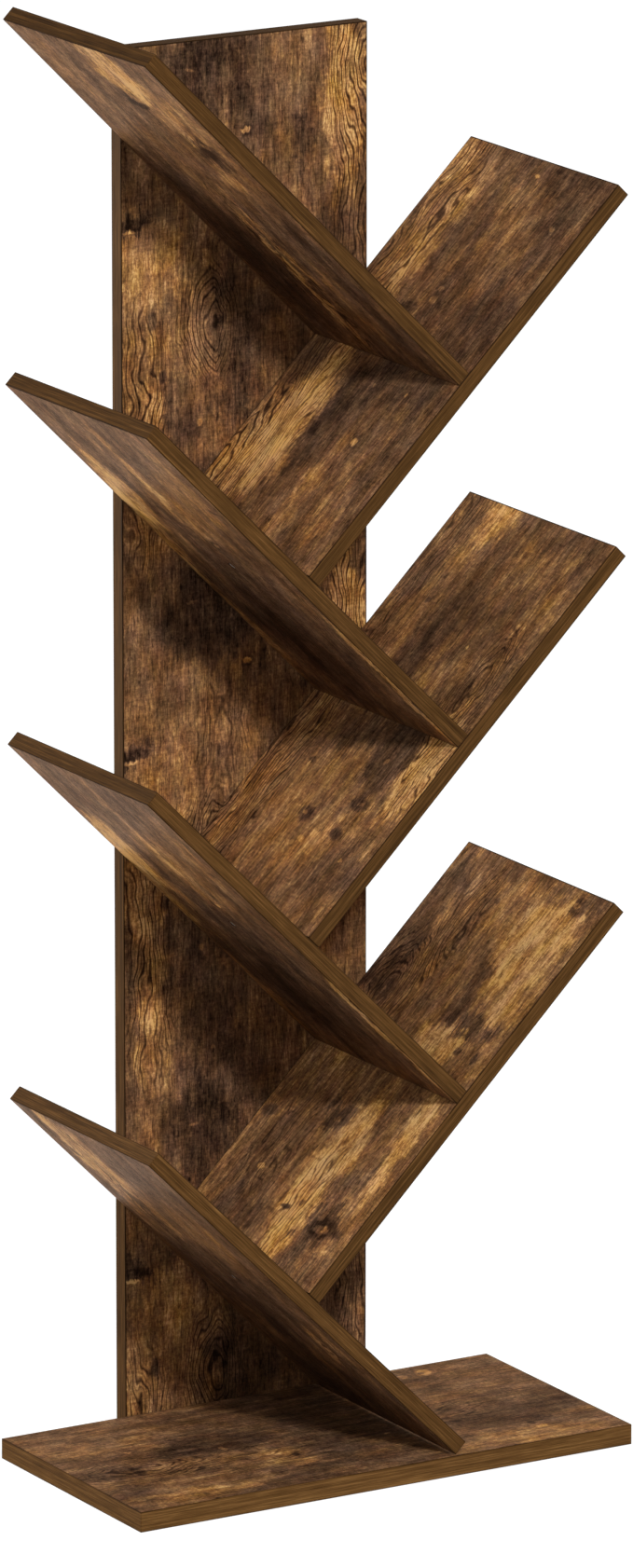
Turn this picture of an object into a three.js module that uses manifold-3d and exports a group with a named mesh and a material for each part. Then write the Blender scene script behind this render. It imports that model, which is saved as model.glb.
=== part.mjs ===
// Tree shaped bookshelf. Seven boards of one size lean to the left and to the right by turns in
// front of a narrow back panel. Each board's square lower end lies flat on the top face of the
// board below it, and the lowest one stands on a broad base.
// Millimetres. +X is to the right, +Y to the rear and +Z up. The origin is on the floor, under
// the middle of the whole outline.
import * as THREE from 'three';
import { mergeVertices } from 'three/addons/utils/BufferGeometryUtils.js';
import Module from 'manifold-3d';

const wasm = await Module();
wasm.setup();

// Base
const BASE_WIDTH = 400;
const BASE_DEPTH = 197.6;
const BASE_THICK = 14.7;

// Back panel, which stands on the floor behind the base
const PANEL_WIDTH = 198;
const PANEL_THICK = 13.3;
const TOP_REACH = 37.8; // how far the highest shelf end stands above the panel

// Shelves
const SHELF_COUNT = 7;
const SHELF_LENGTH = 350;
const SHELF_THICK = 11.4;
const SHELF_SETBACK = 1.8; // from the base's front edge to the shelves' front edges
const TIER_RISE = 128; // height from one shelf to the next

// Edge banding, a thin strip glued round the four edges of every board
const BAND_THICK = 0.6;
const GLUE_LINE = 0.2;

// Clearances
const JOINT_GAP = 0.3; // between boards that meet
const BORE_CLEARANCE = 0.3; // between a screw and the hole that it sits in
const OVERRUN = 1; // how far a cut runs out past the face that it starts from

// Countersunk screws, one size throughout
const SCREW_LENGTH = 35;
const SHANK_RADIUS = 1.75;
const HEAD_RADIUS = 3.3;
const HEAD_RIM = 0.4;
const HEAD_CONE = 1.8;
const HEAD_SINK = 0.6; // depth of the head's top under the face of the board
const POINT_LENGTH = 4;
const RECESS_SPAN = 3.6;
const RECESS_SLOT = 0.9;
const RECESS_DEPTH = 1.4;

// Where the screws go
const FOOT_SCREW_INSET = 50; // from a shelf's lower end to its first screw, along the shelf
const PANEL_SCREW_INSET = 45; // from the panel's side edge to the shelf's other screw
const BASE_SCREW_COUNT = 3;
const BASE_SCREW_INSET = 27; // from the panel's side edges to the outer base screws

const ROUND_SIDES = 16;
const LEFT = -1;
const RIGHT = 1;

// The ends are cut square and lie flat on the next board, so neighbours stand at a right angle
// and each one leans half of it.
const LEAN = Math.PI / 4;
const LEAN_COS = Math.cos(LEAN);
const LEAN_SIN = Math.sin(LEAN);

// Places that follow from the sizes
const SHELF_DEPTH = BASE_DEPTH - SHELF_SETBACK;
const REAR_LINE = BASE_DEPTH / 2; // rear edges of the base and of the shelves
const PANEL_FRONT = REAR_LINE + JOINT_GAP;
const HALF_LEAN_THICK = (SHELF_THICK / 2) * LEAN_SIN;
const FOOT_CORNER = (TIER_RISE - JOINT_GAP / LEAN_SIN) / 2; // top corner of a lower end, from the middle
const FOOT_OFFSET = FOOT_CORNER - HALF_LEAN_THICK;
const FIRST_FOOT_HEIGHT = BASE_THICK + JOINT_GAP + HALF_LEAN_THICK;
const LANDING = (2 * FOOT_CORNER) / LEAN_COS - SHELF_THICK / 2; // where the shelf above stands
const SHELVES_TOP = FIRST_FOOT_HEIGHT + (SHELF_COUNT - 1) * TIER_RISE
  + SHELF_LENGTH * LEAN_SIN + HALF_LEAN_THICK;
const PANEL_HEIGHT = SHELVES_TOP - TOP_REACH;

const LAMINATE = { color: 0x5b4029, roughness: 0.5, metalness: 0 };
const BANDING = { color: 0x695030, roughness: 0.6, metalness: 0 };
const STEEL = { color: 0x8d8b87, roughness: 0.4, metalness: 1 };

const X_AXIS = new THREE.Vector3(1, 0, 0);
const Y_AXIS = new THREE.Vector3(0, 1, 0);
const Z_AXIS = new THREE.Vector3(0, 0, 1);

// A closed three.js geometry as a solid that can be cut.
function toSolid(geometry) {
  const bare = geometry.clone();
  bare.deleteAttribute('normal');
  bare.deleteAttribute('uv');
  const merged = mergeVertices(bare);
  return new wasm.Manifold(new wasm.Mesh({
    numProp: 3,
    vertProperties: merged.attributes.position.array,
    triVerts: Uint32Array.from(merged.index.array),
  }));
}

// A solid back as a three.js geometry with flat faces.
function toGeometry(solid) {
  const mesh = solid.getMesh();
  const indexed = new THREE.BufferGeometry();
  indexed.setAttribute('position', new THREE.BufferAttribute(mesh.vertProperties, 3));
  indexed.setIndex(new THREE.BufferAttribute(mesh.triVerts, 1));
  const geometry = indexed.toNonIndexed();
  geometry.computeVertexNormals();
  return geometry;
}

// The first geometry less all the others.
function cut(geometry, cutters) {
  let solid = toSolid(geometry);
  for (const cutter of cutters) solid = solid.subtract(toSolid(cutter));
  return toGeometry(solid);
}

function piece(name, geometry, finish) {
  const mesh = new THREE.Mesh(geometry, new THREE.MeshStandardMaterial(finish));
  mesh.name = name;
  return mesh;
}

// A fixing is a place on the outer face of the board that the screw enters first, and the way
// that it points. Turned shapes run along +Y from there.
function fixing(position, direction) {
  return { position, turn: new THREE.Quaternion().setFromUnitVectors(Y_AXIS, direction) };
}

// An outline of radii and heights, from the lowest to the highest, turned round Y.
function revolve(outline) {
  const points = outline.map(([radius, height]) => new THREE.Vector2(radius, height));
  return new THREE.LatheGeometry(points, ROUND_SIDES);
}

// A countersunk screw with a cross recess.
function screwGeometry() {
  const top = HEAD_SINK;
  const tip = top + SCREW_LENGTH;
  const body = revolve([
    [0, top],
    [HEAD_RADIUS, top],
    [HEAD_RADIUS, top + HEAD_RIM],
    [SHANK_RADIUS, top + HEAD_RIM + HEAD_CONE],
    [SHANK_RADIUS, tip - POINT_LENGTH],
    [0, tip],
  ]);
  const slotHeight = RECESS_DEPTH + OVERRUN;
  const slotCentre = top + (RECESS_DEPTH - OVERRUN) / 2;
  const slots = [
    new THREE.BoxGeometry(RECESS_SPAN, slotHeight, RECESS_SLOT),
    new THREE.BoxGeometry(RECESS_SLOT, slotHeight, RECESS_SPAN),
  ];
  return cut(body, slots.map((slot) => slot.translate(0, slotCentre, 0)));
}

// The hole for one screw: its own outline with the clearance all round, open to the outer face.
function boreGeometry({ position, turn }) {
  const shank = SHANK_RADIUS + BORE_CLEARANCE;
  const head = HEAD_RADIUS + BORE_CLEARANCE;
  const rim = HEAD_SINK + HEAD_RIM;
  const end = HEAD_SINK + SCREW_LENGTH + BORE_CLEARANCE;
  const bore = revolve([
    [0, -OVERRUN],
    [head, -OVERRUN],
    [head, rim],
    [shank, rim + HEAD_CONE],
    [shank, end],
    [0, end],
  ]);
  return bore.applyQuaternion(turn).translate(position.x, position.y, position.z);
}

function screw(name, { position, turn }) {
  const mesh = piece(name, screwGeometry(), STEEL);
  mesh.position.copy(position);
  mesh.quaternion.copy(turn);
  return mesh;
}

function rectangle(Kind, width, height) {
  const [x, y] = [width / 2, height / 2];
  const corners = [[-x, -y], [x, -y], [x, y], [-x, y]];
  return new Kind(corners.map(([cx, cy]) => new THREE.Vector2(cx, cy)));
}

// A board and the banding round its edges, with its middle at centre and its screw holes cut.
function bandedBoard(name, width, height, thick, centre, fixings) {
  const inner = 2 * BAND_THICK;
  const core = new THREE.BoxGeometry(width - inner - 2 * GLUE_LINE, height - inner - 2 * GLUE_LINE, thick);
  const outline = rectangle(THREE.Shape, width, height);
  outline.holes.push(rectangle(THREE.Path, width - inner, height - inner));
  const band = new THREE.ExtrudeGeometry(outline, { depth: thick, bevelEnabled: false });
  band.translate(0, 0, -thick / 2);
  const bores = fixings.map(boreGeometry);
  for (const shape of [core, band]) shape.translate(centre.x, centre.y, centre.z);
  return [
    piece(name, cut(core, bores), LAMINATE),
    piece(`${name}_edge_band`, cut(band, bores), BANDING),
  ];
}

const shelfSide = (tier) => (tier % 2 === 0 ? LEFT : RIGHT);
const shelfWord = (tier) => (shelfSide(tier) === LEFT ? 'left' : 'right');
const shelfNumber = (tier) => Math.floor((SHELF_COUNT - 1 - tier) / 2) + 1; // counted from the top
const shelfFoot = (tier) => new THREE.Vector3(
  -shelfSide(tier) * FOOT_OFFSET, REAR_LINE, FIRST_FOOT_HEIGHT + tier * TIER_RISE,
);

// Distances from a shelf's lower end to its two panel screws, along the shelf.
function panelScrewDistances() {
  const reach = FOOT_OFFSET + PANEL_WIDTH / 2 - PANEL_SCREW_INSET;
  return [FOOT_SCREW_INSET, reach / LEAN_COS];
}

// A shelf's own frame starts at the rear of its lower end, halfway through its thickness: +X runs
// up the shelf and +Y to the rear. +Z points out of the top face on the right-hand shelves and
// out of the underside on the left-hand ones.
function shelfFixings(tier) {
  const middle = -SHELF_DEPTH / 2;
  const rear = JOINT_GAP + PANEL_THICK;
  const upward = shelfSide(tier);
  const toPanel = panelScrewDistances().map(
    (distance) => fixing(new THREE.Vector3(distance, rear, 0), Y_AXIS.clone().negate()),
  );
  const foot = fixing(new THREE.Vector3(-JOINT_GAP - SHELF_THICK, middle, 0), X_AXIS);
  const landing = fixing(
    new THREE.Vector3(LANDING, middle, (-upward * SHELF_THICK) / 2),
    Z_AXIS.clone().multiplyScalar(upward),
  );
  return { toPanel, foot, landing };
}

function buildShelf(tier) {
  const label = `${shelfWord(tier)}_${shelfNumber(tier)}`;
  const { toPanel, foot, landing } = shelfFixings(tier);
  const standsOnShelf = tier > 0;
  const carriesShelf = tier < SHELF_COUNT - 1;
  const holes = [...toPanel];
  if (standsOnShelf) holes.push(foot);
  if (carriesShelf) holes.push(landing);

  const centre = new THREE.Vector3(SHELF_LENGTH / 2, -SHELF_DEPTH / 2, 0);
  const shelf = new THREE.Group();
  shelf.add(...bandedBoard(`shelf_${label}`, SHELF_LENGTH, SHELF_DEPTH, SHELF_THICK, centre, holes));
  toPanel.forEach((place, k) => shelf.add(screw(`panel_screw_${label}_${k + 1}`, place)));
  if (standsOnShelf) shelf.add(screw(`joint_screw_${label}`, foot));

  shelf.position.copy(shelfFoot(tier));
  shelf.rotation.y = shelfSide(tier) === RIGHT ? -LEAN : LEAN - Math.PI;
  return shelf;
}

// Places of the base screws, left to right.
function baseScrewPlaces() {
  const reach = PANEL_WIDTH / 2 - BASE_SCREW_INSET;
  const spacing = (2 * reach) / (BASE_SCREW_COUNT - 1);
  return Array.from({ length: BASE_SCREW_COUNT }, (_, k) => k * spacing - reach);
}

function buildBase() {
  const rear = PANEL_FRONT + PANEL_THICK;
  const fixings = baseScrewPlaces().map(
    (x) => fixing(new THREE.Vector3(x, rear, 0), Y_AXIS.clone().negate()),
  );
  const base = new THREE.Group();
  base.add(...bandedBoard('base', BASE_WIDTH, BASE_DEPTH, BASE_THICK, new THREE.Vector3(), fixings));
  fixings.forEach((place, k) => base.add(screw(`base_screw_${k + 1}`, place)));
  base.position.z = BASE_THICK / 2;
  return base;
}

// The panel's own frame is turned so that +Y runs up it and +Z points forward.
function buildPanel() {
  const holeAt = (x, height) => fixing(
    new THREE.Vector3(x, height - PANEL_HEIGHT / 2, -PANEL_THICK / 2), Z_AXIS,
  );
  const fixings = baseScrewPlaces().map((x) => holeAt(x, BASE_THICK / 2));
  for (let tier = 0; tier < SHELF_COUNT; tier++) {
    const foot = shelfFoot(tier);
    for (const distance of panelScrewDistances()) {
      const x = foot.x + shelfSide(tier) * distance * LEAN_COS;
      fixings.push(holeAt(x, foot.z + distance * LEAN_SIN));
    }
  }
  const panel = new THREE.Group();
  const centre = new THREE.Vector3();
  panel.add(...bandedBoard('back_panel', PANEL_WIDTH, PANEL_HEIGHT, PANEL_THICK, centre, fixings));
  panel.position.set(0, PANEL_FRONT + PANEL_THICK / 2, PANEL_HEIGHT / 2);
  panel.rotation.x = Math.PI / 2;
  return panel;
}

const bookshelf = new THREE.Group();
bookshelf.add(buildBase(), buildPanel());
for (let tier = 0; tier < SHELF_COUNT; tier++) bookshelf.add(buildShelf(tier));

// The origin lies halfway between the front of the base and the rear of the panel.
bookshelf.position.y = -(JOINT_GAP + PANEL_THICK) / 2;

export default bookshelf;
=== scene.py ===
"""Looks for the tree shaped bookshelf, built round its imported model.

The boards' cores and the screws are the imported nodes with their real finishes. The edge bands are
copies of their nodes with softened edges. Lengths are in metres, except where mm is said.
"""

import logging
import math
from dataclasses import dataclass, replace
from enum import Enum
from typing import Self, Sequence

import bmesh
import bpy
from mathutils import Matrix, Vector


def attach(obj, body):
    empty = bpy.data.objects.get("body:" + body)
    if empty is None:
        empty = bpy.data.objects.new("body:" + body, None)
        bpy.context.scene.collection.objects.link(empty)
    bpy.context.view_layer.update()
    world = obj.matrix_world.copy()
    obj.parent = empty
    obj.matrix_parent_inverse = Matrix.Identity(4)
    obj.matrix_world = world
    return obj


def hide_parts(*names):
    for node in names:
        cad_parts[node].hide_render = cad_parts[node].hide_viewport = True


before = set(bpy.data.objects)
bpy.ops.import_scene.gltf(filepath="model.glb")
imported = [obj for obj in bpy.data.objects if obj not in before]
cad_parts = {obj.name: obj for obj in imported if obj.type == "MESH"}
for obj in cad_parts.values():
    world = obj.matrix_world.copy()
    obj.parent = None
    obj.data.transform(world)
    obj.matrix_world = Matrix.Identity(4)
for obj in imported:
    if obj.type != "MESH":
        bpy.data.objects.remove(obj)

log = logging.getLogger("bookshelf")

MM = 0.001
ROOT = "root"

Socket = bpy.types.NodeSocket
Tree = bpy.types.NodeTree
Piece = bpy.types.Object
Material = bpy.types.Material
Triple = tuple[float, float, float]
Colour = Triple
Shades = tuple[tuple[float, Colour], ...]
Sockets = bpy.types.bpy_prop_collection | dict[str, Socket]
Feed = Socket | float | Sequence[float] | None
Pair = tuple[float, float]
# Where a value starts and ends, and what it turns into there
Slope = tuple[float, float, float, float]

WHITE: Colour = (1.0, 1.0, 1.0)
# Leaves a hue as it is
NEUTRAL_HUE = 0.5
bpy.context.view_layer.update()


def srgb(red: int, green: int, blue: int) -> Colour:
    """Turns a screen colour into the linear one that a shader takes.

    Args:
        red: Red from 0 to 255.
        green: Green from 0 to 255.
        blue: Blue from 0 to 255.

    Returns:
        The linear colour.
    """
    def linear(level: int) -> float:
        """Gives one channel's linear value."""
        share = level / 255
        return share / 12.92 if share <= 0.04045 else ((share + 0.055) / 1.055) ** 2.4

    return linear(red), linear(green), linear(blue)


def opaque(colour: Colour) -> tuple[float, float, float, float]:
    """Adds full alpha to a colour."""
    return (*colour, 1.0)


class Port(Enum):
    """Kinds of socket on a node group."""

    VALUE = "NodeSocketFloat"
    VECTOR = "NodeSocketVector"
    COLOUR = "NodeSocketColor"


VALUE, VECTOR, COLOUR = Port
FINISH = {"Colour": COLOUR, "Roughness": VALUE, "Height": VALUE}


@dataclass(frozen=True)
class Layer:
    """A layer of noise, with the size of its features across and along the grain in mm.

    The detail is how many finer layers it has, and rough how strong they are. The amount is how
    strongly it counts. The shift in mm keeps it from lining up with the others.
    """

    across: float
    along: float
    detail: float
    rough: float
    amount: float = 1.0
    shift: Triple = (0.0, 0.0, 0.0)


class Wiring:
    """Adds nodes to one node tree and joins them."""

    def __init__(self, tree: Tree) -> None:
        """Keeps the tree that is being filled."""
        self.tree = tree

    def node(self, kind: str, inputs: dict | None = None, **settings: object) -> bpy.types.Node:
        """Adds a node, sets it up and feeds its inputs.

        Args:
            kind: The node's type.
            inputs: What goes into each input, by name or number.
            settings: The node's own settings.

        Returns:
            The node.
        """
        made = self.tree.nodes.new(kind)
        for name, value in settings.items():
            setattr(made, name, value)
        for name, value in (inputs or {}).items():
            self.feed(made.inputs[name], value)
        return made

    def feed(self, socket: Socket, value: Feed) -> None:
        """Links a socket to another, or sets its value.

        Args:
            socket: The input.
            value: An output, a number or numbers, or None to leave the input alone.
        """
        if isinstance(value, Socket):
            self.tree.links.new(value, socket)
        elif value is not None:
            socket.default_value = value

    def math(self, operation: str, *values: Feed, clamp: bool = False) -> Socket:
        """Adds a maths node.

        Args:
            operation: What it works out.
            values: Its inputs in order.
            clamp: Whether the result is held between 0 and 1.

        Returns:
            The result.
        """
        inputs = dict(enumerate(values))
        return self.node("ShaderNodeMath", inputs, operation=operation, use_clamp=clamp).outputs[0]

    def vector(self, operation: str, *values: Feed) -> Socket:
        """Adds a vector maths node.

        Args:
            operation: What it works out.
            values: Its inputs in order.

        Returns:
            The result, a number for LENGTH and a vector otherwise.
        """
        made = self.node("ShaderNodeVectorMath", dict(enumerate(values)), operation=operation)
        return made.outputs["Value" if operation == "LENGTH" else "Vector"]

    def join(self, x: Feed, y: Feed, z: Feed = 0.0) -> Socket:
        """Joins three numbers into a vector."""
        return self.node("ShaderNodeCombineXYZ", {"X": x, "Y": y, "Z": z}).outputs[0]

    def split(self, vector: Socket) -> Sequence[Socket]:
        """Splits a vector into its three numbers."""
        return self.node("ShaderNodeSeparateXYZ", {0: vector}).outputs

    def ease(self, value: Feed, low: float, high: float, start: float = 0.0,
             end: float = 1.0) -> Socket:
        """Turns a value smoothly from start to end as it goes from low to high."""
        inputs = {"Value": value, "From Min": low, "From Max": high, "To Min": start, "To Max": end}
        return self.node("ShaderNodeMapRange", inputs, interpolation_type="SMOOTHSTEP").outputs[0]

    def noise(self, vector: Feed, layer: Layer) -> Socket:
        """Adds flat noise.

        Args:
            vector: Place on the board in mm.
            layer: Its sizes and strengths.

        Returns:
            The noise, centred on 0 and within about 0.6 of it.
        """
        if any(layer.shift):
            vector = self.vector("ADD", vector, layer.shift)
        scaled = self.vector("MULTIPLY", vector, (1 / layer.across, 1 / layer.along, 0.0))
        inputs = {"Vector": scaled, "Scale": 1.0, "Detail": layer.detail, "Roughness": layer.rough}
        cloud = self.node("ShaderNodeTexNoise", inputs, noise_dimensions="2D")
        return self.add(-1.0, cloud.outputs[0], 2.0)

    def add(self, total: Feed, part: Feed, amount: Feed) -> Socket:
        """Adds a part to a total, times its amount."""
        return self.math("MULTIPLY_ADD", part, amount, total)

    def vary(self, total: Feed, vector: Feed, layer: Layer) -> Socket:
        """Adds a layer of noise to a total, times its amount."""
        return self.add(total, self.noise(vector, layer), layer.amount)

    def shade(self, tone: Feed, shades: Shades) -> Socket:
        """Turns a tone into a colour.

        Args:
            tone: The tone, from 0 to 1.
            shades: Places and colours on that way, from low to high.

        Returns:
            The colour.
        """
        made = self.node("ShaderNodeValToRGB", {0: tone})
        stops = made.color_ramp.elements
        while len(stops) < len(shades):
            stops.new(1.0)
        for stop, (place, colour) in zip(stops, shades):
            stop.position = place
            stop.color = opaque(colour)
        return made.outputs[0]

    def group(self, tree: Tree, inputs: dict) -> Sockets:
        """Places a node group, feeds its inputs by name and gives its outputs."""
        return self.node("ShaderNodeGroup", inputs, node_tree=tree).outputs


class Recipe(Wiring):
    """A node group being built."""

    def __init__(self, name: str, inputs: dict[str, Port], outputs: dict[str, Port]) -> None:
        """Opens a group with named inputs and outputs.

        Args:
            name: The group's name.
            inputs: Kind of each input by name.
            outputs: Kind of each output by name.
        """
        super().__init__(bpy.data.node_groups.new(name, "ShaderNodeTree"))
        for ports, way in ((inputs, "INPUT"), (outputs, "OUTPUT")):
            for label, port in ports.items():
                self.tree.interface.new_socket(label, in_out=way, socket_type=port.value)
        self.given = self.tree.nodes.new("NodeGroupInput").outputs
        self.results = self.tree.nodes.new("NodeGroupOutput").inputs

    def close(self, **results: Feed) -> Tree:
        """Ends the group.

        Args:
            results: What goes into each output, by name.

        Returns:
            The finished group.
        """
        for name, value in results.items():
            self.feed(self.results[name], value)
        return self.tree


@dataclass(frozen=True)
class Feature:
    """A place in the print, in mm on the board's face: its middle and how far it reaches."""

    across: float
    along: float
    wide: float
    long: float

    def limits(self, far: float) -> dict[str, Triple]:
        """Gives its middle and its reach as a group's inputs, on the face at a distance."""
        return {"Centre": (self.across, self.along, far), "Reach": (self.wide, self.long, 1.0)}

    @classmethod
    def each(cls, *rows: tuple[float, ...]) -> tuple[Self, ...]:
        """Makes a feature from each row of values, which are in the order of the fields."""
        return tuple(cls(*row) for row in rows)


@dataclass(frozen=True)
class Blotch(Feature):
    """A place that is lighter if its tone is above 0, and else darker."""

    tone: float


@dataclass(frozen=True)
class Whorl(Feature):
    """A place where the growth lines stand out and bend round."""

    turns: float
    strength: float


# How far in mm the wander may carry a feature along the board
PRINT_DRIFT = 40.0


@dataclass(frozen=True)
class Print:
    """What is printed on one face of a board, and between which heights in mm it repeats.

    Marks are small blotches that keep their shape. The heart is where the rings are centred.
    Some blotches and the tone are painted shade and light, not print.
    """

    blotches: tuple[Blotch, ...] = ()
    marks: tuple[Blotch, ...] = ()
    whorls: tuple[Whorl, ...] = ()
    low: float = -10000.0
    high: float = 10000.0
    heart: float = 100.0
    # Lifts the whole face. On the panel and the right-leaning shelves' tops it is painted light: those
    # faces are made lighter for the light that falls on them.
    tone: float = 0.0

    def carried_over(self, spots: Sequence[Feature]) -> list[Feature]:
        """Lists features, with those that cross an end of the repeat shown at its other end too.

        Args:
            spots: The blotches, the marks or the whorls.

        Returns:
            The features and their doubles.
        """
        repeat = self.high - self.low
        found = list(spots)
        for spot in spots:
            margin = spot.long + PRINT_DRIFT
            if spot.along + margin > self.high:
                found.append(replace(spot, along=spot.along - repeat))
            if spot.along - margin < self.low:
                found.append(replace(spot, along=spot.along + repeat))
        return found


PANEL_PRINT = Print(
    blotches=Blotch.each(
        (180, 945, 20, 80, 0.8), (24, 850, 36, 36, 0.4), (58, 838, 24, 26, 0.2),
        (18, 790, 28, 56, 0.45), (60, 775, 22, 50, 0.25), (85, 900, 34, 42, 0.25),
        (28, 905, 26, 26, 0.05), (20, 718, 17, 50, 0.5), (52, 716, 16, 20, -0.4),
        (24, 660, 20, 40, 0.45), (66, 972, 36, 44, -0.9), (104, 960, 22, 48, -0.5),
        (146, 928, 7, 26, -0.6), (8, 877, 20, 7, -1.0), (96, 802, 28, 38, -0.5),
        (90, 764, 22, 24, -0.5), (52, 745, 26, 26, -0.45), (92, 735, 26, 10, -0.7),
        (75, 690, 30, 22, -0.4), (80, 640, 38, 44, -0.7), (172, 845, 26, 34, -0.35),
    ),
    marks=Blotch.each(
        (101, 934, 6, 5, -0.74), (100, 934, 5, 2.6, 1.86), (8, 876, 16, 5, -0.99),
        (6, 871, 6, 2, 1.36), (56, 980, 5, 1.4, 0.99), (80, 800, 3, 4, -0.87), (33, 766, 4, 6, -0.99),
        (24, 805, 4, 8, -0.74), (130, 700, 5, 4, -0.87), (62, 730, 3, 3, 0.87), (72, 655, 2, 2, 0.99),
    ),
    whorls=Whorl.each(
        (70, 800, 28, 44, -5.0, 0.9), (188, 965, 26, 60, 2.6, 1.0), (190, 860, 22, 80, 0.8, 0.9),
        (15, 765, 24, 60, 0.8, 0.7), (78, 885, 26, 46, 0.5, 0.4), (20, 690, 24, 70, 0.6, 0.6),
    ),
    low=621.0,
    high=1000.0,
    heart=75.0,
    tone=0.12,
)

HIGH_RIGHT_PRINT = Print(
    blotches=Blotch.each(
        (148, 100, 26, 84, 1.0), (134, 68, 20, 36, 0.5), (178, 72, 24, 62, 0.7),
        (162, 250, 34, 120, 0.45), (152, 245, 12, 44, 0.5), (188, 335, 16, 34, 0.6),
        (76, 45, 12, 70, 0.4), (36, 60, 20, 46, 0.4), (92, 300, 34, 40, 0.25), (62, 270, 40, 40, 0.2),
        (76, 344, 92, 22, -0.45), (100, 135, 30, 40, -0.45), (110, 95, 14, 36, -0.4),
        # The darker band at across 60, along 160, just below where the shelf above stands, is painted
        # shade.
        (26, 92, 18, 34, -0.6), (60, 160, 70, 28, -0.45), (32, 215, 36, 44, -0.6),
        (24, 300, 36, 44, -0.5), (122, 290, 26, 30, -0.4), (97, 235, 8, 46, -0.6),
    ),
    marks=Blotch.each(
        (62, 103, 6, 6, -0.74), (63, 103, 4.5, 3.6, 1.6), (98, 224, 5, 4, 0.9), (99, 234, 3, 3, 0.9),
        (118, 212, 11, 6, -0.99), (88, 148, 2, 2, 1.12), (117, 103, 5, 8, -0.74),
        (30, 308, 6, 8, -0.62), (32, 302, 3, 3, 1.12), (91, 336, 4, 2, 0.99), (72, 345, 5, 4, -0.74),
        (48, 150, 2, 3, 0.74),
    ),
    whorls=Whorl.each(
        (175, 40, 34, 110, -6.0, 1.0), (172, 260, 30, 140, 0.6, 0.7), (146, 90, 26, 90, -0.6, 0.5),
    ),
    heart=204.0,
    tone=0.05,
)

MIDDLE_RIGHT_PRINT = Print(
    blotches=Blotch.each(
        (18, 148, 24, 56, 0.8), (76, 305, 26, 50, 0.15), (60, 344, 66, 18, -0.35),
        (180, 285, 20, 30, -0.4), (140, 338, 24, 26, 0.65), (110, 80, 64, 60, 0.25),
        (148, 318, 10, 30, 0.15), (22, 295, 16, 70, 0.25), (140, 230, 14, 40, 0.3),
        (180, 100, 22, 120, 0.3), (14, 330, 16, 26, -0.3), (115, 275, 36, 62, -0.2),
        (58, 150, 24, 40, -0.75), (100, 158, 40, 22, -0.4), (122, 215, 20, 44, -0.5),
        (22, 50, 34, 24, -0.4), (50, 280, 20, 34, -0.2), (75, 270, 16, 7, -0.3),
        (80, 205, 14, 12, 0.4),
    ),
    marks=Blotch.each(
        (55, 103, 12, 6, -0.87), (54, 104, 5, 2, 0.87), (55, 76, 8, 5, -1.12), (103, 82, 8, 7, -0.93),
        (104, 82, 3, 2, 0.99), (62, 140, 3, 3, 0.99), (140, 120, 4, 3, -0.87), (30, 60, 3, 2, 0.87),
        (150, 262, 4, 3, -0.74), (70, 240, 2, 2, 0.87), (62, 89, 5, 5, 0.4), (69, 79, 5, 4, 0.4),
        (77, 71, 5, 3.5, 0.4), (87, 64, 6, 3, 0.4), (97, 58, 6, 3, 0.35),
    ),
    whorls=Whorl.each(
        (178, 100, 30, 150, 1.5, 1.0), (32, 210, 26, 60, -5.0, 0.8), (18, 150, 22, 60, 0.5, 0.6),
        (180, 300, 22, 70, 0.6, 0.6),
    ),
    heart=32.0,
    tone=0.24,
)

LOW_RIGHT_PRINT = Print(
    blotches=Blotch.each(
        (80, 75, 24, 90, 0.85), (22, 130, 14, 52, 0.7), (45, 290, 38, 56, 0.62),
        (95, 320, 30, 40, 0.3), (22, 232, 18, 30, 0.4), (62, 203, 34, 16, 0.5),
        (160, 160, 30, 20, 0.3), (20, 344, 24, 12, -0.8), (184, 285, 26, 66, -1.0),
        (120, 344, 80, 14, -0.4), (16, 14, 18, 18, -0.35), (115, 290, 24, 44, -0.1),
        (76, 252, 12, 28, -0.45), (48, 225, 38, 12, -0.8), (50, 76, 22, 20, -0.45),
        (110, 125, 18, 16, -0.9), (42, 46, 26, 14, -1.0), (48, 20, 14, 20, -0.6),
        (150, 75, 36, 44, -0.25), (178, 222, 22, 14, -0.8), (140, 30, 36, 18, -0.6),
    ),
    marks=Blotch.each(
        (37, 46, 22, 9, -0.99), (38, 45, 11, 4, 1.61), (92, 50, 6, 2.4, -1.61),
        (184, 108, 10, 6, -0.99), (78, 57, 4, 3, -0.87), (149, 68, 5, 3, 0.99), (18, 204, 4, 5, -0.99),
        (40, 204, 5, 4, -0.99), (108, 123, 4, 3, 0.74), (20, 330, 4, 4, 0.99), (34, 338, 5, 3, 0.87),
        (120, 316, 4, 3, -0.62),
    ),
    whorls=Whorl.each(
        (172, 226, 50, 56, -7.0, 1.0), (140, 290, 22, 60, 2.0, 0.8), (80, 60, 20, 60, 0.5, 0.5),
        (150, 90, 30, 50, 1.0, 0.5),
    ),
    heart=165.0,
    tone=0.34,
)

RIGHT_PRINTS = (HIGH_RIGHT_PRINT, MIDDLE_RIGHT_PRINT, LOW_RIGHT_PRINT)

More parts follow.
